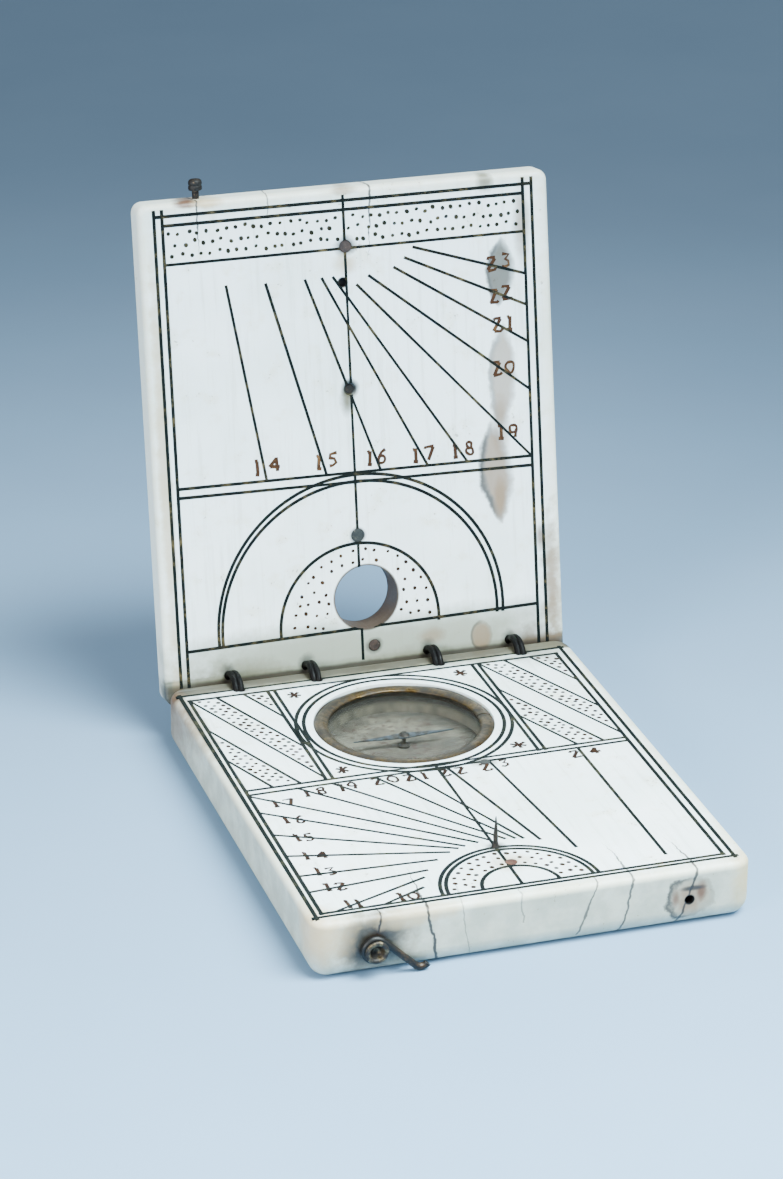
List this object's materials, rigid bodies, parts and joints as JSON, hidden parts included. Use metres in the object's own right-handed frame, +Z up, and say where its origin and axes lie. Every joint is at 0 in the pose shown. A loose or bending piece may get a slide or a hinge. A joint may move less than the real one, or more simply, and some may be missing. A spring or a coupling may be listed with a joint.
{
  "type": "diptych sundial",
  "caption": "Pocket sundial of two engraved ivory tablets on wire ring hinges, with a glazed compass, a pin gnomon, a sighting aperture and a swinging latch hook.",
  "frame": {"origin": "centre of the base leaf's flat underside, on the table; the lid is open against its heel at rest", "axes": "+X across the leaves to the viewer's right, +Y from the free edge towards the hinge, +Z up"},
  "size_m": [0.0734, 0.1111, 0.096],
  "materials": {
    "ivory": "satin, aged ivory",
    "pigment": "matte green-black filling of engraved lines",
    "ring_wire": "dark patina",
    "bezel_brass": "tarnished",
    "glass": "old flat glass",
    "card": "matte, foxed",
    "pivot_brass": "satin",
    "needle_steel": "blued",
    "rusted_iron": "rusted",
    "red_filling": "waxy",
    "grey_filling": "waxy",
    "brown_filling": "waxy",
    "hook_bronze": "dark, worn",
    "stud_brass": "worn, dark in the hollows"
  },
  "bodies": {
    "base": {"base_leaf": "ivory", "base_lines": "pigment", "hinge_ring_1": "ring_wire", "hinge_ring_2": "ring_wire", "hinge_ring_3": "ring_wire", "hinge_ring_4": "ring_wire", "compass_bezel": "bezel_brass", "compass_glass": "glass", "compass_card": "card", "compass_pivot": "pivot_brass", "gnomon_pin": "rusted_iron", "front_plug": "red_filling", "side_plug": "grey_filling", "hook_rivet": "stud_brass"},
    "lid": {"lid_leaf": "ivory", "lid_lines": "pigment", "catch_stud": "stud_brass", "lid_gnomon_stub": "rusted_iron", "lid_top_plug": "brown_filling", "lid_middle_plug": "grey_filling", "lid_lower_plug": "brown_filling"},
    "latch": {"latch_hook": "hook_bronze"},
    "needle": {"compass_needle": "needle_steel", "needle_cap": "pivot_brass"}
  },
  "joints": [
    {"name": "lid_hinge", "type": "hinge", "parent": "base", "child": "lid", "pos_m": [0, 0.04235, 0.00823], "axis": [1, 0, 0], "range_deg": [0, 100]},
    {"name": "hook_swing", "type": "hinge", "parent": "base", "child": "latch", "pos_m": [-0.0268, -0.0447, 0.0048], "axis": [0, -1, 0], "range_deg": [0, 103.8]},
    {"name": "needle_turn", "type": "hinge", "parent": "base", "child": "needle", "pos_m": [-0.0015, 0.0193, 0.0076], "axis": [0, 0, 1], "continuous": true}
  ]
}
